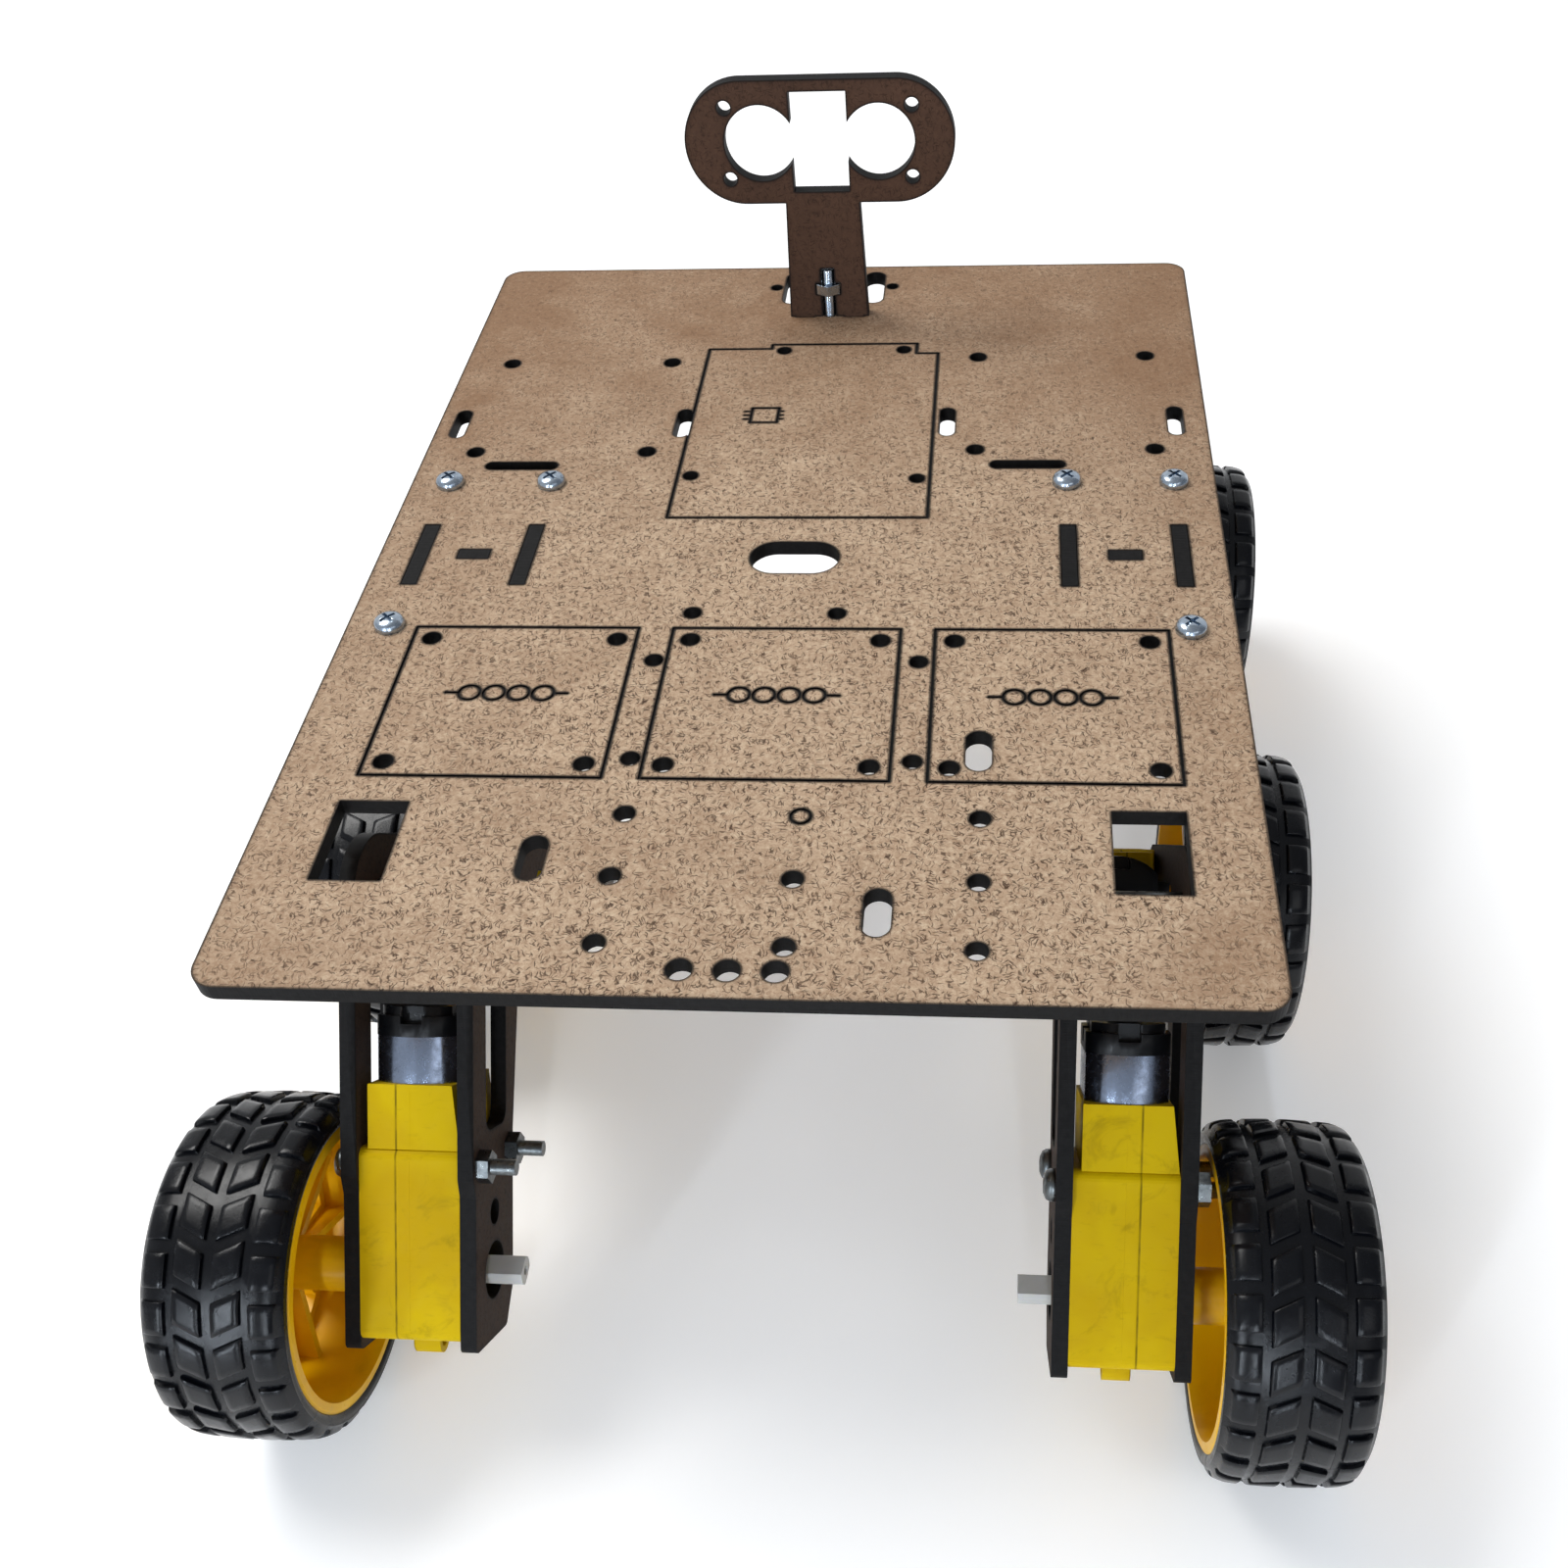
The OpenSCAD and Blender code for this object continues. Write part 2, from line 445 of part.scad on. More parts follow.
// ---- wheels -----------------------------------------------------------------
module at_axle(s, y) translate([0, y, axle_z]) side(s) rotate([0, 90, 0]) children();
module tyre(s, y) color(tyre_black) at_axle(s, y) translate([0, 0, wheel_x]) rotate_extrude($fn = 96)
  polygon([[28, 0.4], [30.6, 0], [wheel_r - 1.4, 0.8], [wheel_r - 0.6, 3], [wheel_r - 0.1, 6.7], [wheel_r, 10.2],
    [wheel_r, wheel_w - 10.2], [wheel_r - 0.1, wheel_w - 6.7], [wheel_r - 0.6, wheel_w - 3],
    [wheel_r - 1.4, wheel_w - 0.8], [30.6, wheel_w], [28, wheel_w - 0.4]]);
module rim(s, y) color(rim_yellow) at_axle(s, y) difference() {
  union() {
    translate([0, 0, wheel_x]) rotate_extrude($fn = 96)
      polygon([[25.9, 0.2], [27.4, 0.2], [28, 0.5], [28, wheel_w - 0.5], [27.4, wheel_w - 0.2], [25.4, wheel_w - 0.2],
        [25.2, wheel_w - 7], [8.2, wheel_w - 9], [8.2, wheel_w - 6], [4, wheel_w - 6], [4, wheel_w - 12], [25.2, wheel_w - 9.6]]);
    translate([0, 0, wheel_x - 2.5]) cylinder(r = 5.25, h = wheel_w - 7);
    for (k = [0:9]) rotate([0, 0, 36 * k + 18])
      translate([4.5, -0.8, wheel_x + wheel_w - 14]) cube([21, 1.6, 5]);
  }
  // windows between the spokes
  for (k = [0:9]) rotate([0, 0, 36 * k]) translate([0, 0, wheel_x + wheel_w - 16]) linear_extrude(12)
    polygon(concat(arc([0, 0], 22.6, -12, 12, 6), arc([0, 0], 10.4, 9, -9, 4)));
  // double-flatted socket for the output shaft
  intersection() {
    translate([0, 0, wheel_x - 4]) cylinder(r = shaft_r + 0.02, h = 15.5);
    translate([-1.87, -4, wheel_x - 5]) cube([3.74, 8, 18]);
  }
}
module gear_ring(teeth, r_root, r_tip) polygon([for (i = [0:teeth - 1]) for (q = [[0.05, 0], [0.3, 1], [0.5, 1], [0.75, 0]])
  (q[1] > 0 ? r_tip : r_root) * [cos((i + q[0]) * 360 / teeth), sin((i + q[0]) * 360 / teeth)]]);
// double-ended output shaft with the last gear of the train on it
module shaft(s, y) color(shaft_white) at_axle(s, y) union() {
  difference() {
    translate([0, 0, in0 - 6]) cylinder(r = shaft_r, h = wheel_x + 11 - in0 + 6);
    for (k = [0, 1]) rotate([0, 0, 180 * k]) {
      translate([1.85, -5, in0 - 7]) cube([5, 10, 8.6]);
      translate([1.85, -5, out1 - 0.9]) cube([5, 10, 20]);
    }
    translate([0, 0, in0 - 7]) cylinder(r = 0.9, h = 7);
    translate([0, 0, wheel_x + 6]) cylinder(r = 0.9, h = 7);
  }
  translate([0, 0, mid_x - 5]) linear_extrude(4) gear_ring(26, 7.6, 8.7);
  translate([0, 0, mid_x - 7]) cylinder(r = 4.2, h = 13.4);
}

top_plate();
sensor_bracket();
hanger_outer(-1);  // left_hanger_outer
hanger_inner(-1);  // left_hanger_inner
hanger_brace(-1);  // left_hanger_brace
hanger_outer(1);  // right_hanger_outer
hanger_inner(1);  // right_hanger_inner
hanger_brace(1);  // right_hanger_brace
chassis_screws();
chassis_nuts();
rocker_pivot_bolts();
rocker_pivot_spacers();
rocker_arm(-1);  // left_rocker_arm
front_leg_outer(-1);  // left_front_leg_outer
front_leg_inner(-1);  // left_front_leg_inner
front_gearbox(-1, 1);  // left_front_gearbox_outer
front_gearbox(-1, -1);  // left_front_gearbox_inner
front_motor_can(-1);  // left_front_motor_can
front_motor_cap(-1);  // left_front_motor_cap
rocker_fasteners(-1);  // left_rocker_fasteners
rocker_arm(1);  // right_rocker_arm
front_leg_outer(1);  // right_front_leg_outer
front_leg_inner(1);  // right_front_leg_inner
front_gearbox(1, 1);  // right_front_gearbox_outer
front_gearbox(1, -1);  // right_front_gearbox_inner
front_motor_can(1);  // right_front_motor_can
front_motor_cap(1);  // right_front_motor_cap
rocker_fasteners(1);  // right_rocker_fasteners
bogie_outer(-1);  // left_bogie_outer
bogie_inner(-1);  // left_bogie_inner
bogie_gearboxes(-1, 1);  // left_bogie_gearboxes_outer
bogie_gearboxes(-1, -1);  // left_bogie_gearboxes_inner
bogie_motor_cans(-1);  // left_bogie_motor_cans
bogie_motor_caps(-1);  // left_bogie_motor_caps
bogie_fasteners(-1);  // left_bogie_fasteners
bogie_outer(1);  // right_bogie_outer
bogie_inner(1);  // right_bogie_inner
bogie_gearboxes(1, 1);  // right_bogie_gearboxes_outer
bogie_gearboxes(1, -1);  // right_bogie_gearboxes_inner
bogie_motor_cans(1);  // right_bogie_motor_cans
bogie_motor_caps(1);  // right_bogie_motor_caps
bogie_fasteners(1);  // right_bogie_fasteners
tyre(-1, -axle_y);  // left_rear_tyre
rim(-1, -axle_y);  // left_rear_rim
shaft(-1, -axle_y);  // left_rear_shaft
tyre(-1, middle_y);  // left_middle_tyre
rim(-1, middle_y);  // left_middle_rim
shaft(-1, middle_y);  // left_middle_shaft
tyre(-1, axle_y);  // left_front_tyre
rim(-1, axle_y);  // left_front_rim
shaft(-1, axle_y);  // left_front_shaft
tyre(1, -axle_y);  // right_rear_tyre
rim(1, -axle_y);  // right_rear_rim
shaft(1, -axle_y);  // right_rear_shaft
tyre(1, middle_y);  // right_middle_tyre
rim(1, middle_y);  // right_middle_rim
shaft(1, middle_y);  // right_middle_shaft
tyre(1, axle_y);  // right_front_tyre
rim(1, axle_y);  // right_front_rim
shaft(1, axle_y);  // right_front_shaft
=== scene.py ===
import math
import bpy
import bmesh
import numpy as np
from mathutils import Matrix, Vector


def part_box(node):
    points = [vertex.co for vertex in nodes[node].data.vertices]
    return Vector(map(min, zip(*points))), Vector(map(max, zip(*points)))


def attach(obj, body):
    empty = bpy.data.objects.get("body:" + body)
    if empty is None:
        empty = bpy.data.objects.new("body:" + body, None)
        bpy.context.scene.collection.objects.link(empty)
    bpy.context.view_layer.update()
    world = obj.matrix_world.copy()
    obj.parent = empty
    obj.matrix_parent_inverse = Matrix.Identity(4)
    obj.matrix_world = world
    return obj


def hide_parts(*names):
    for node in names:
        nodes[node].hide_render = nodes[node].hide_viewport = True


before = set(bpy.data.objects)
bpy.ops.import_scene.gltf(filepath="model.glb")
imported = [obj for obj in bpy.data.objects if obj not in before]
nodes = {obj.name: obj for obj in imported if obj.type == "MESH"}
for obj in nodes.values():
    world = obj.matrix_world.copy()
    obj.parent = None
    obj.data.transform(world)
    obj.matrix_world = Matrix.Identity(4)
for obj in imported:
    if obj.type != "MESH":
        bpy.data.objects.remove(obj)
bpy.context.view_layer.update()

scene = bpy.context.scene
MM = 0.001


# ---------------------------------------------------------------- camera
def make_camera():
    cam = bpy.data.cameras.new("camera")
    ob = bpy.data.objects.new("camera", cam)
    scene.collection.objects.link(ob)
    right = Vector(CAM_R[0])
    up = -Vector(CAM_R[1])
    back = -Vector(CAM_R[2])
    m = Matrix((right, up, back)).transposed().to_4x4()
    m.translation = Vector(CAM_C)
    ob.matrix_world = m
    cam.sensor_width = 36
    cam.sensor_fit = "HORIZONTAL"
    cam.lens = CAM_F / 1600 * 36
    cam.shift_x = (800 - CAM_CX) / 1600
    cam.shift_y = (CAM_CY - 800) / 1600
    cam.clip_start = 0.01
    cam.clip_end = 20
    scene.camera = ob


CAM_R = ((0.996901, 0.065448, -0.043639),
         (0.021299, -0.758620, -0.651185),
         (-0.075724, 0.648238, -0.757664))
CAM_C = (0.03837, -0.24855, 0.29259)
CAM_F, CAM_CX, CAM_CY = 1567.1, 879.8, 973.5

make_camera()


# ---------------------------------------------------------------- node helper
class Mat:
    """A material whose nodes are added by short calls; every call returns an output socket."""

    def __init__(self, name):
        self.mat = bpy.data.materials.new(name)
        self.mat.use_nodes = True
        self.t = self.mat.node_tree
        self.bsdf = self.t.nodes["Principled BSDF"]
        self.p = self.add("ShaderNodeTexCoord").outputs["Object"]
        self.mm = self.vec("SCALE", self.p, scale=1000)

    def add(self, kind, **props):
        n = self.t.nodes.new(kind)
        for k, v in props.items():
            setattr(n, k, v)
        return n

    def put(self, socket, value):
        if isinstance(value, bpy.types.NodeSocket):
            self.t.links.new(value, socket)
        else:
            socket.default_value = value

    def vec(self, op, a, b=None, scale=None):
        n = self.add("ShaderNodeVectorMath", operation=op)
        self.put(n.inputs[0], a)
        if b is not None:
            self.put(n.inputs[1], b)
        if scale is not None:
            self.put(n.inputs["Scale"], scale)
        return n.outputs["Value"] if op in ("DOT_PRODUCT", "LENGTH", "DISTANCE") else n.outputs["Vector"]

    def math(self, op, a, b=0.0, c=0.0, clamp=False):
        n = self.add("ShaderNodeMath", operation=op, use_clamp=clamp)
        self.put(n.inputs[0], a)
        self.put(n.inputs[1], b)
        self.put(n.inputs[2], c)
        return n.outputs[0]

    def sep(self, v):
        n = self.add("ShaderNodeSeparateXYZ")
        self.put(n.inputs[0], v)
        return n.outputs

    def comb(self, x, y, z):
        n = self.add("ShaderNodeCombineXYZ")
        for i, v in enumerate((x, y, z)):
            self.put(n.inputs[i], v)
        return n.outputs[0]

    def noise(self, scale, detail=3.0, rough=0.5, distortion=0.0, at=None, seed=0.0, colour=False):
        n = self.add("ShaderNodeTexNoise")
        v = at if at is not None else self.mm
        if seed:
            v = self.vec("ADD", v, (seed, seed * 1.7, -seed * 0.6))
        self.put(n.inputs["Vector"], v)
        n.inputs["Scale"].default_value = scale
        n.inputs["Detail"].default_value = detail
        n.inputs["Roughness"].default_value = rough
        n.inputs["Distortion"].default_value = distortion
        return n.outputs["Color" if colour else "Fac"]

    def ramp(self, v, stops, interp="LINEAR"):
        """stops: (position, value) pairs, where value is a number or a colour."""
        n = self.add("ShaderNodeValToRGB")
        n.color_ramp.interpolation = interp
        el = n.color_ramp.elements
        while len(el) < len(stops):
            el.new(0.5)
        for e, (pos, c) in zip(el, stops):
            e.position = pos
            e.color = (c, c, c, 1) if isinstance(c, (int, float)) else (*c, 1)
        self.put(n.inputs[0], v)
        return n.outputs["Color"]

    def span(self, v, a, b, lo=0.0, hi=1.0, smooth=False):
        n = self.add("ShaderNodeMapRange", clamp=True)
        if smooth:
            n.interpolation_type = "SMOOTHSTEP"
        self.put(n.inputs[0], v)
        for i, x in enumerate((a, b, lo, hi)):
            n.inputs[i + 1].default_value = x
        return n.outputs[0]

    def mix(self, fac, a, b, mode="MIX"):
        n = self.add("ShaderNodeMix", data_type="RGBA", blend_type=mode)
        self.put(n.inputs[0], fac)
        for i, v in ((6, a), (7, b)):
            if isinstance(v, tuple):
                v = (*v, 1) if len(v) == 3 else v
            self.put(n.inputs[i], v)
        return n.outputs[2]

    def bump(self, height, dist, strength=1.0, normal=None):
        n = self.add("ShaderNodeBump")
        n.inputs["Strength"].default_value = strength
        n.inputs["Distance"].default_value = dist
        self.put(n.inputs["Height"], height)
        if normal is not None:
            self.put(n.inputs["Normal"], normal)
        return n.outputs[0]

    def set(self, **kw):
        for k, v in kw.items():
            s = self.bsdf.inputs[k.replace("_", " ")]
            if isinstance(v, tuple) and len(v) == 3 and s.type == "RGBA":
                v = (*v, 1)
            self.put(s, v)
        return self


def lin(r, g, b):
    """sRGB 0-255 to linear."""
    return tuple(((c / 255 + 0.055) / 1.055) ** 2.4 if c > 10 else c / 255 / 12.92 for c in (r, g, b))


# ---------------------------------------------------------------- fibreboard
def fibreboard(name, light, dark, fibre, fleck, axis, engraved=None, edge=(6, 5, 5), grain=1.0, far_colour=None):
    """Laser-cut fibreboard. axis is the sheet's normal; faces are brown fibre, cut edges are charred."""
    m = Mat(name)
    big = m.noise(0.017, 4, 0.6, 0.8, seed=3.1)
    mid_n = m.noise(0.10, 5, 0.65, 0.5, seed=11.7)
    small = m.noise(1.1, 5, 0.70, 0.6, seed=5.3)
    tiny = m.noise(3.2, 3, 0.6, 0.3, seed=27.0)
    xyz = m.sep(m.mm)
    far_blend = None
    if far_colour is not None:
        # the far and outer parts of the deck are darker and browner, with weaker grain
        far_blend = m.math("ADD", m.math("MULTIPLY", m.span(xyz[1], -5, 118, smooth=True), 0.80),
                     m.math("MULTIPLY", m.span(m.math("ABSOLUTE", xyz[0]), 50, 84, smooth=True), 0.34))
        far_blend = m.math("ADD", far_blend, m.span(mid_n, 0.30, 0.70, -0.14, 0.14))
        far_blend = m.math("ADD", far_blend, m.span(big, 0.35, 0.65, -0.22, 0.22), clamp=True)
    keep = m.span(far_blend, 0.0, 1.0, 1.0, 0.30) if far_blend is not None else 1.0
    def amount(v, k):
        v = m.math("MULTIPLY", v, k * grain)
        return m.math("MULTIPLY", v, keep) if far_blend is not None else v
    col = m.mix(m.span(mid_n, 0.34, 0.66, 0, 0.5), lin(*light), m.mix(0.45, lin(*light), lin(*dark)))
    if far_blend is not None:
        col = m.mix(far_blend, col, lin(*far_colour))
    else:
        col = m.mix(m.span(big, 0.42, 0.66, 0, 0.5, smooth=True), col, lin(*dark))
    # pale felted fibres, and the brown grain between them
    col = m.mix(amount(m.span(small, 0.50, 0.66), 0.55), col, lin(*fleck))
    col = m.mix(amount(m.span(small, 0.50, 0.36), 0.50), col, lin(*dark))
    col = m.mix(amount(m.span(tiny, 0.54, 0.68), 0.55), col, lin(*dark))
    # short curved dark fibres: long narrow cells laid at several angles, bent by a slow noise
    flat = [xyz[i] for i in range(3) if i != axis]
    bend = m.sep(m.noise(0.45, 2.0, 0.5, seed=33.0, colour=True))
    fu = m.math("ADD", flat[0], m.math("MULTIPLY", m.math("SUBTRACT", bend[0], 0.5), 2.6))
    fv = m.math("ADD", flat[1], m.math("MULTIPLY", m.math("SUBTRACT", bend[1], 0.5), 2.6))
    for i, (deg, lu, lv, share, k) in enumerate(((8, 0.42, 1.9, 0.30, 0.78), (61, 0.50, 2.2, 0.26, 0.72), (112, 0.38, 1.8, 0.30, 0.78),
                                                 (152, 0.55, 2.4, 0.26, 0.70), (85, 0.34, 2.6, 0.22, 0.66))):
        c, sn = math.cos(math.radians(deg)), math.sin(math.radians(deg))
        u = m.math("ADD", m.math("MULTIPLY", fu, c * lu), m.math("MULTIPLY", fv, sn * lu))
        v = m.math("ADD", m.math("MULTIPLY", fu, -sn * lv), m.math("MULTIPLY", fv, c * lv))
        cell = m.add("ShaderNodeTexVoronoi", feature="F1", voronoi_dimensions="2D")
        m.put(cell.inputs["Vector"], m.comb(m.math("ADD", u, 13.7 * i), v, 0.0))
        cell.inputs["Scale"].default_value = 1.0
        pick = m.span(m.sep(cell.outputs["Color"])[0], share + 0.02, share - 0.02)
        stroke = m.math("MULTIPLY", m.span(cell.outputs["Distance"], 0.30, 0.17), pick)
        col = m.mix(amount(stroke, k), col, lin(*fibre))
    # a few dark specks
    v = m.add("ShaderNodeTexVoronoi", feature="F1")
    m.put(v.inputs["Vector"], m.mm)
    v.inputs["Scale"].default_value = 0.30
    speck = m.math("MULTIPLY", m.span(v.outputs["Distance"], 0.12, 0.05), m.span(m.noise(0.2, 2, seed=90.0), 0.50, 0.56))
    col = m.mix(amount(speck, 0.85), col, lin(*fibre))
    # charred edges: wherever the surface turns away from the sheet's normal
    nrm = m.add("ShaderNodeTexCoord").outputs["Normal"]
    c = m.sep(nrm)[axis]
    cut = m.span(m.math("ABSOLUTE", c), 0.94, 0.72)
    if engraved is not None:
        groove = m.math("MULTIPLY", m.span(xyz[2], engraved - 0.05, engraved - 0.16), m.span(xyz[2], engraved - 0.9, engraved - 0.6))
        cut = m.math("MAXIMUM", cut, groove)
    # smoke haze next to cuts and engraved lines
    ao = m.add("ShaderNodeAmbientOcclusion", inside=True, samples=6)
    ao.inputs["Distance"].default_value = 0.0016
    haze = m.span(ao.outputs["AO"], 0.98, 0.45, 0, 1)
    haze = m.math("MULTIPLY", haze, m.span(m.noise(0.35, 3, seed=15.0), 0.3, 0.7, 0.1, 0.5))
    col = m.mix(haze, col, lin(*[int(x * 0.42) for x in dark]))
    near = m.add("ShaderNodeAmbientOcclusion", inside=True, samples=6)
    near.inputs["Distance"].default_value = 0.0005
    col = m.mix(m.span(near.outputs["AO"], 0.97, 0.80, 0, 0.85), col, lin(*[x + 10 for x in edge]))
    soot = m.mix(m.span(m.noise(0.9, 4, 0.6), 0.35, 0.7), lin(*edge), lin(*[x + 11 for x in edge]))
    col = m.mix(cut, col, soot)
    rough = m.mix(cut, m.span(small, 0.3, 0.7, 0.62, 0.82), (0.6, 0.6, 0.6))
    height = m.math("ADD", m.math("MULTIPLY", small, 0.7), m.math("MULTIPLY", tiny, 0.3))
    # cut edges carry fine vertical laser lines
    others = [xyz[i] for i in range(3) if i != axis]
    lines = m.noise(1.0, 2, 0.5, at=m.comb(m.math("MULTIPLY", others[0], 3.5), m.math("MULTIPLY", others[1], 3.5), m.math("MULTIPLY", xyz[axis], 0.2)))
    height = m.mix(cut, height, lines)
    nor = m.bump(height, 0.00008, 0.55)
    m.set(Base_Color=col, Roughness=rough, Normal=nor)
    m.bsdf.inputs["Specular IOR Level"].default_value = 0.16
    return m.mat


deck_top_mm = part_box("top_plate")[1].z * 1000
mat_deck = fibreboard("deck_fibreboard", (188, 162, 135), (128, 97, 72), (62, 41, 29), (208, 188, 161), 2, engraved=deck_top_mm, far_colour=(139, 108, 82))
mat_leg = fibreboard("leg_fibreboard", (60, 45, 35), (40, 29, 22), (22, 15, 11), (78, 60, 47), 0, grain=0.6)
mat_bracket = fibreboard("bracket_fibreboard", (80, 57, 44), (58, 40, 30), (32, 21, 15), (98, 72, 56), 1, grain=0.5)
mat_brace = fibreboard("brace_fibreboard", (60, 45, 35), (40, 29, 22), (22, 15, 11), (78, 60, 47), 1, grain=0.6)


# ---------------------------------------------------------------- plastics, steel, rubber
def plastic(name, base, deep, rough=0.42, dirt=0.25, grain=0.00002, coat=0.0, sss=0.0, spec=0.4, seam=None):
    m = Mat(name)
    tone = m.noise(0.05, 3, 0.5, 0.5)
    col = m.mix(m.span(tone, 0.35, 0.65), lin(*base), lin(*deep))
    # handling marks
    smear = m.math("MULTIPLY", m.span(m.noise(0.09, 6, 0.7, 1.2, seed=8.0), 0.56, 0.72), dirt)
    col = m.mix(smear, col, lin(*[int(c * 0.62) for c in base]))
    streak = m.noise(1.0, 3, 0.6, at=m.vec("MULTIPLY", m.mm, (0.35, 0.35, 2.2)), seed=2.0)
    col = m.mix(m.math("MULTIPLY", m.span(streak, 0.6, 0.78), dirt * 0.6), col, lin(*[int(c * 0.75) for c in base]))
    fine = m.noise(7.0, 2, 0.5)
    if seam is not None:
        # moulded shells meet in a thin dark line
        off = m.math("ABSOLUTE", m.math("SUBTRACT", m.math("ABSOLUTE", m.sep(m.mm)[0]), seam))
        line = m.math("MULTIPLY", m.span(off, 0.26, 0.10), m.span(m.noise(0.3, 2, seed=21.0), 0.3, 0.6, 0.45, 0.85))
        col = m.mix(line, col, lin(*[int(c * 0.5) for c in base]))
        fine = m.math("SUBTRACT", fine, m.math("MULTIPLY", m.span(off, 0.40, 0.05), 4.0))
    m.set(Base_Color=col, Roughness=m.span(m.noise(0.4, 4, 0.6, seed=4.0), 0.3, 0.7, rough - 0.08, rough + 0.1),
          Normal=m.bump(fine, grain, 0.5))
    m.bsdf.inputs["Specular IOR Level"].default_value = spec
    if coat:
        m.bsdf.inputs["Coat Weight"].default_value = coat
        m.bsdf.inputs["Coat Roughness"].default_value = 0.2
    if sss:
        m.bsdf.inputs["Subsurface Weight"].default_value = sss
        m.bsdf.inputs["Subsurface Radius"].default_value = (0.003, 0.0015, 0.0004)
    return m.mat


def steel(name, base, rough, brushed=0.0, tint=None):
    m = Mat(name)
    n = m.noise(0.8, 4, 0.6, 0.4)
    col = m.mix(m.span(n, 0.3, 0.7), lin(*base), lin(*(tint or [int(c * 0.86) for c in base])))
    spots = m.math("MULTIPLY", m.span(m.noise(2.4, 4, 0.7, seed=6.0), 0.6, 0.74), 0.5)
    col = m.mix(spots, col, lin(*[int(c * 0.55) for c in base]))
    fine = m.noise(1.0, 3, 0.6, at=m.vec("MULTIPLY", m.mm, (9.0, 1.2, 9.0))) if brushed else m.noise(5.0, 3, 0.6)
    m.set(Base_Color=col, Metallic=1.0, Roughness=m.span(n, 0.3, 0.7, rough - 0.07, rough + 0.1), Normal=m.bump(fine, 0.00003, 0.35))
    return m.mat


def rubber(name):
    m = Mat(name)
    n = m.noise(0.15, 5, 0.6, 0.5)
    col = m.mix(m.span(n, 0.35, 0.65), lin(4, 5, 9), lin(8, 10, 15))
    dust = m.math("MULTIPLY", m.span(m.noise(0.5, 6, 0.7, 0.8, seed=9.0), 0.58, 0.78), 0.22)
    col = m.mix(dust, col, lin(34, 36, 42))
    m.set(Base_Color=col, Roughness=m.span(m.noise(0.3, 4, 0.6, seed=3.0), 0.3, 0.7, 0.15, 0.33), Normal=m.bump(m.noise(4.0, 4, 0.6), 0.00004, 0.6))
    m.bsdf.inputs["Specular IOR Level"].default_value = 0.26
    return m.mat


seam_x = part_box("right_bogie_gearboxes_inner")[1].x * 1000
mat_gearbox = plastic("gearbox_plastic", (198, 168, 1), (184, 150, 1), 0.5, 0.5, spec=0.07, seam=seam_x)
mat_rim = plastic("rim_plastic", (238, 186, 2), (226, 170, 1), 0.34, 0.15, coat=0.06, spec=0.2)
mat_cap = plastic("motor_cap_plastic", (6, 7, 9), (11, 12, 14), 0.34, 0.2, spec=0.22)
mat_shaft = plastic("shaft_nylon", (196, 195, 192), (180, 179, 174), 0.38, 0.15, sss=0.15)
mat_zinc = steel("zinc_steel", (190, 200, 210), 0.22, tint=(150, 166, 184))
mat_bolt = steel("bolt_steel", (112, 116, 116), 0.30, tint=(84, 88, 90))
mat_can = steel("motor_steel", (160, 174, 198), 0.22, brushed=1.0)
mat_tyre = rubber("tyre_rubber")


def paint(o, mat):
    o.data.materials.clear()
    o.data.materials.append(mat)
    for p in o.data.polygons:
        p.material_index = 0


def bevel(o, width, segments=2, angle=40):
    weld = o.modifiers.new("weld", "WELD")
    weld.merge_threshold = 0.000002
    b = o.modifiers.new("edges", "BEVEL")
    b.width = width
    b.segments = segments
    b.limit_method = "ANGLE"
    b.angle_limit = math.radians(angle)
    b.use_clamp_overlap = True
    b.harden_normals = True
    return b


for name, o in nodes.items():
    if name == "top_plate":
        paint(o, mat_deck)
    elif name == "sensor_bracket":
        paint(o, mat_bracket)
    elif name.endswith("hanger_brace"):
        paint(o, mat_brace)
    elif "gearbox" in name:
        paint(o, mat_gearbox)
        bevel(o, 0.0004, 3)
    elif "motor_can" in name:
        paint(o, mat_can)
        bevel(o, 0.0003)
    elif "motor_cap" in name:
        paint(o, mat_cap)
        bevel(o, 0.00025)
    elif name.endswith("_rim"):
        paint(o, mat_rim)
        bevel(o, 0.0003)
    elif name.endswith("_shaft"):
        paint(o, mat_shaft)
        bevel(o, 0.00025)
    elif any(k in name for k in ("screws", "nuts", "bolts", "spacers", "fasteners")):
        paint(o, mat_zinc if name.startswith("chassis") else mat_bolt)
        bevel(o, 0.00015)
    elif not name.endswith("_tyre"):
        paint(o, mat_leg)
        bevel(o, 0.00015, 1)


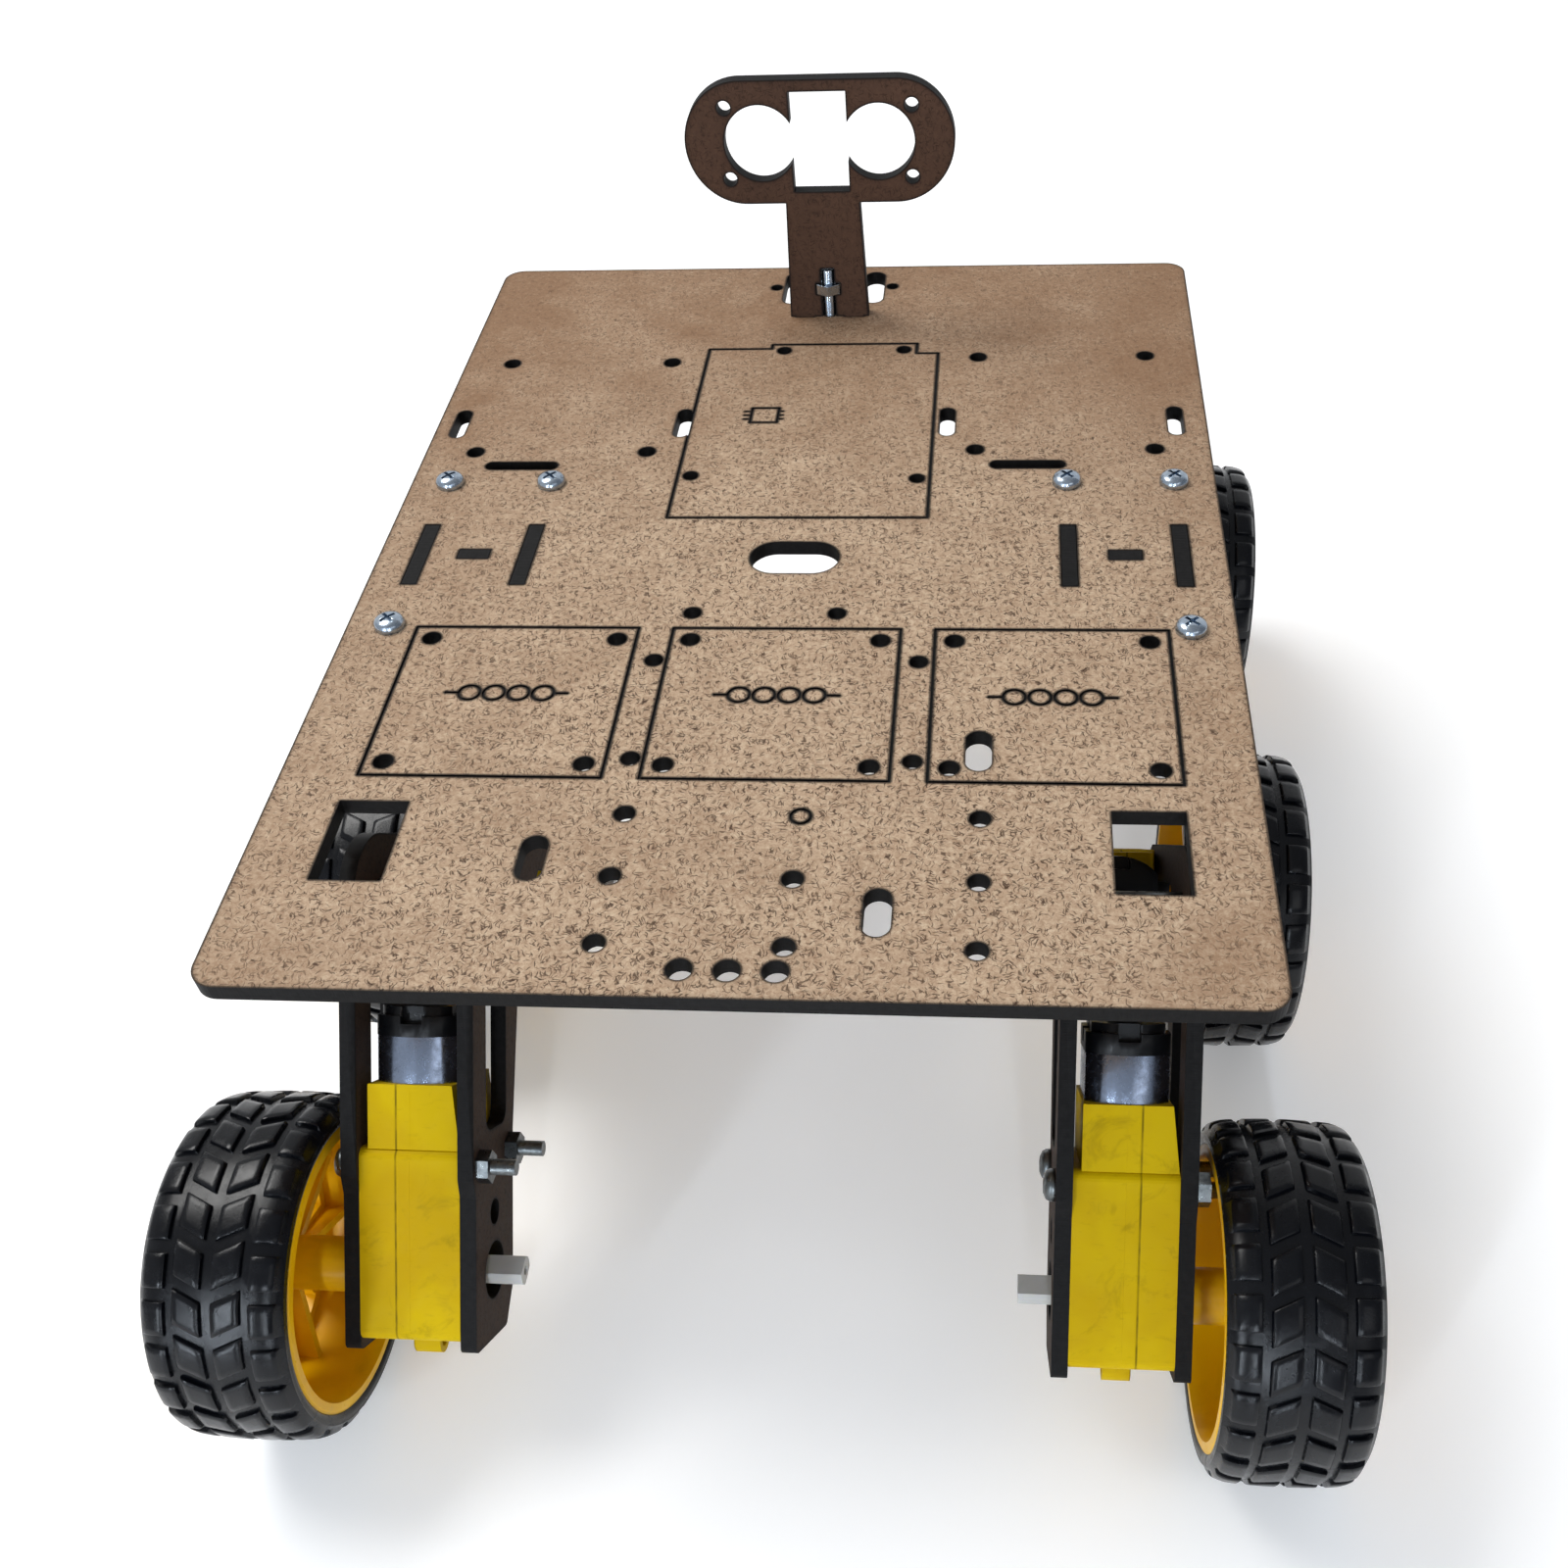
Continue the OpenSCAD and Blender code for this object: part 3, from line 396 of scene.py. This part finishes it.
# ---------------------------------------------------------------- tyres
def tyre_mesh():
    """Tread blocks raised from the carcass; x runs from the inner side (0) to the outer side (26 mm)."""
    pitches = 24
    R = 33.0
    h = 0.85
    # stations across the tyre: x, base radius, height share, slant share (mm of forward shift)
    def crown(x):
        d = abs(x - 13.0)
        return R - h - 0.0045 * d * d - (0.0 if d < 9 else 0.055 * (d - 9) ** 2.3)
    st = []
    # inner side wall from the bead outward
    st += [(1.2, 27.6, 0, 0), (0.45, 28.0, 0, 0), (0.1, 28.5, 0, 0), (0.0, 29.2, 0, 0), (0.12, 29.7, 0, 0), (0.05, 30.0, 0, 0)]
    cols = [(0.9, 5.5, 0.0, 0.0), (6.9, 12.1, 2.6, 0.0), (13.9, 19.1, 0.0, 2.6), (20.5, 25.1, 0.0, 0.0)]
    e1, e2 = 0.16, 0.42
    for (a, b, sa, sb) in cols:
        def sl(x):
            return sa + (sb - sa) * (x - a) / (b - a)
        st += [(a - 0.05, None, 0, sl(a)), (a + e1, None, 0.8, sl(a + e1)), (a + e2, None, 1.0, sl(a + e2))]
        st += [(a + (b - a) * k / 4, None, 1.0, sl(a + (b - a) * k / 4)) for k in (1, 2, 3)]
        st += [(b - e2, None, 1.0, sl(b - e2)), (b - e1, None, 0.8, sl(b - e1)), (b + 0.05, None, 0, sl(b))]
        if b == 12.1:
            st += [(12.7, None, 0, 0), (13.0, None, 0, 0), (13.3, None, 0, 0)]
    st += [(26 - x, r, 0, 0) for (x, r, _, _) in reversed(st[:6])]
    def base(x, r):
        return r if r is not None else max(crown(x), 29.8)
    # stations round one pitch: share of pitch (mm), height share
    pitch = 2 * math.pi * R / pitches
    g = 2.2
    row = [(0.0, 0.0), (g * 0.5, 0.0), (g, 0.0), (g + 0.16, 0.8), (g + 0.42, 1.0)]
    n_in = 5
    row += [(g + 0.42 + (pitch - g - 0.84) * k / n_in, 1.0) for k in range(1, n_in)]
    row += [(pitch - 0.42, 1.0), (pitch - 0.16, 0.8)]
    verts, faces = [], []
    n_t = len(row) * pitches
    prof = st
    for k in range(pitches):
        for (s, hr) in row:
            for (x, r, hc, shift) in prof:
                rad = base(x, r) + h * hc * hr
                th = (k * pitch + s + shift) / R
                verts.append((x * MM, rad * math.cos(th) * MM, rad * math.sin(th) * MM))
    m = len(prof)
    for i in range(n_t):
        j = (i + 1) % n_t
        for q in range(m):
            r = (q + 1) % m
            faces.append((i * m + q, j * m + q, j * m + r, i * m + r))
    me = bpy.data.meshes.new("tyre_tread")
    me.from_pydata(verts, [], faces)
    bm = bmesh.new()
    bm.from_mesh(me)
    bmesh.ops.recalc_face_normals(bm, faces=bm.faces)
    bm.to_mesh(me)
    bm.free()
    me.materials.append(mat_tyre)
    for p in me.polygons:
        p.use_smooth = True
    me.set_sharp_from_angle(angle=math.radians(38))
    return me


tread = tyre_mesh()
spin = {"rear": 0.05, "middle": 0.21, "front": 0.13}
for side, s in (("left", -1), ("right", 1)):
    for place in ("rear", "middle", "front"):
        node = f"{side}_{place}_tyre"
        a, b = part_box(node)
        turn = Matrix.Rotation(spin[place] + (0.1 if s > 0 else 0.0), 4, "X")
        flip = Matrix.Rotation(math.pi, 4, "Z") if s < 0 else Matrix.Identity(4)
        me = tread.copy()
        me.transform(flip @ turn)
        o = bpy.data.objects.new(f"{side}_{place}_tyre_tread", me)
        scene.collection.objects.link(o)
        x = b.x if s < 0 else a.x
        o.matrix_world = Matrix.Translation((x, (a.y + b.y) / 2, (a.z + b.z) / 2))
        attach(o, f"{side}_{place}_wheel")
        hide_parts(node)


# ---------------------------------------------------------------- floor and light
def backdrop():
    me = bpy.data.meshes.new("floor")
    w = 6.0
    prof = [(-w, 0.0), (1.6, 0.0)] + [(1.6 + 1.2 * math.sin(t), 1.2 - 1.2 * math.cos(t)) for t in np.linspace(0, math.pi / 2, 14)[1:]] + [(2.8, 4.0)]
    v = [(x, y, z) for x in (-w, w) for (y, z) in prof]
    n = len(prof)
    me.from_pydata(v, [], [(i, i + 1, n + i + 1, n + i) for i in range(n - 1)])
    o = bpy.data.objects.new("floor", me)
    scene.collection.objects.link(o)
    for p in me.polygons:
        p.use_smooth = True
    m = bpy.data.materials.new("floor_paper")
    m.use_nodes = True
    b = m.node_tree.nodes["Principled BSDF"]
    b.inputs["Base Color"].default_value = (0.93, 0.93, 0.93, 1)
    b.inputs["Roughness"].default_value = 0.9
    b.inputs["Specular IOR Level"].default_value = 0.1
    b.inputs["Emission Color"].default_value = (1, 1, 1, 1)
    b.inputs["Emission Strength"].default_value = 0.22
    me.materials.append(m)


def area(name, loc, target, size, power, colour=(1, 1, 1)):
    li = bpy.data.lights.new(name, "AREA")
    li.shape = "RECTANGLE"
    li.size, li.size_y = size
    li.energy = power
    li.color = colour
    o = bpy.data.objects.new(name, li)
    scene.collection.objects.link(o)
    o.location = loc
    d = Vector(target) - Vector(loc)
    o.rotation_euler = d.to_track_quat("-Z", "Y").to_euler()


backdrop()
area("key", (-0.7, 0.35, 1.35), (0, 0, 0.08), (0.8, 0.5), 15, (1.0, 0.99, 0.97))
area("fill", (0.9, -1.1, 1.1), (0, 0, 0.06), (0.7, 0.5), 1.2, (0.97, 0.98, 1.0))
area("front", (-0.2, -1.6, 0.7), (0, 0, 0.06), (0.9, 0.35), 0.3)
area("strip_left", (-0.55, -1.1, 0.42), (-0.09, -0.12, 0.05), (0.045, 0.7), 5.5, (0.80, 0.89, 1.0))
area("strip_right", (0.12, -1.15, 0.42), (0.09, -0.12, 0.05), (0.04, 0.7), 3.8, (0.80, 0.89, 1.0))
w = bpy.data.worlds.new("world")
scene.world = w
w.use_nodes = True
way = w.node_tree.nodes.new("ShaderNodeTexCoord")
part = w.node_tree.nodes.new("ShaderNodeSeparateXYZ")
tone = w.node_tree.nodes.new("ShaderNodeValToRGB")
tone.color_ramp.elements[0].position = 0.1
tone.color_ramp.elements[0].color = (1.25, 1.28, 1.32, 1)
tone.color_ramp.elements[1].position = 0.9
tone.color_ramp.elements[1].color = (0.52, 0.54, 0.58, 1)
half = w.node_tree.nodes.new("ShaderNodeMath")
half.operation = "MULTIPLY_ADD"
half.inputs[1].default_value = 0.5
half.inputs[2].default_value = 0.5
w.node_tree.links.new(way.outputs["Generated"], part.inputs[0])
w.node_tree.links.new(part.outputs[0], half.inputs[0])
w.node_tree.links.new(half.outputs[0], tone.inputs[0])
w.node_tree.links.new(tone.outputs[0], w.node_tree.nodes["Background"].inputs[0])
w.node_tree.nodes["Background"].inputs[1].default_value = 0.42
scene.view_settings.view_transform = "Standard"
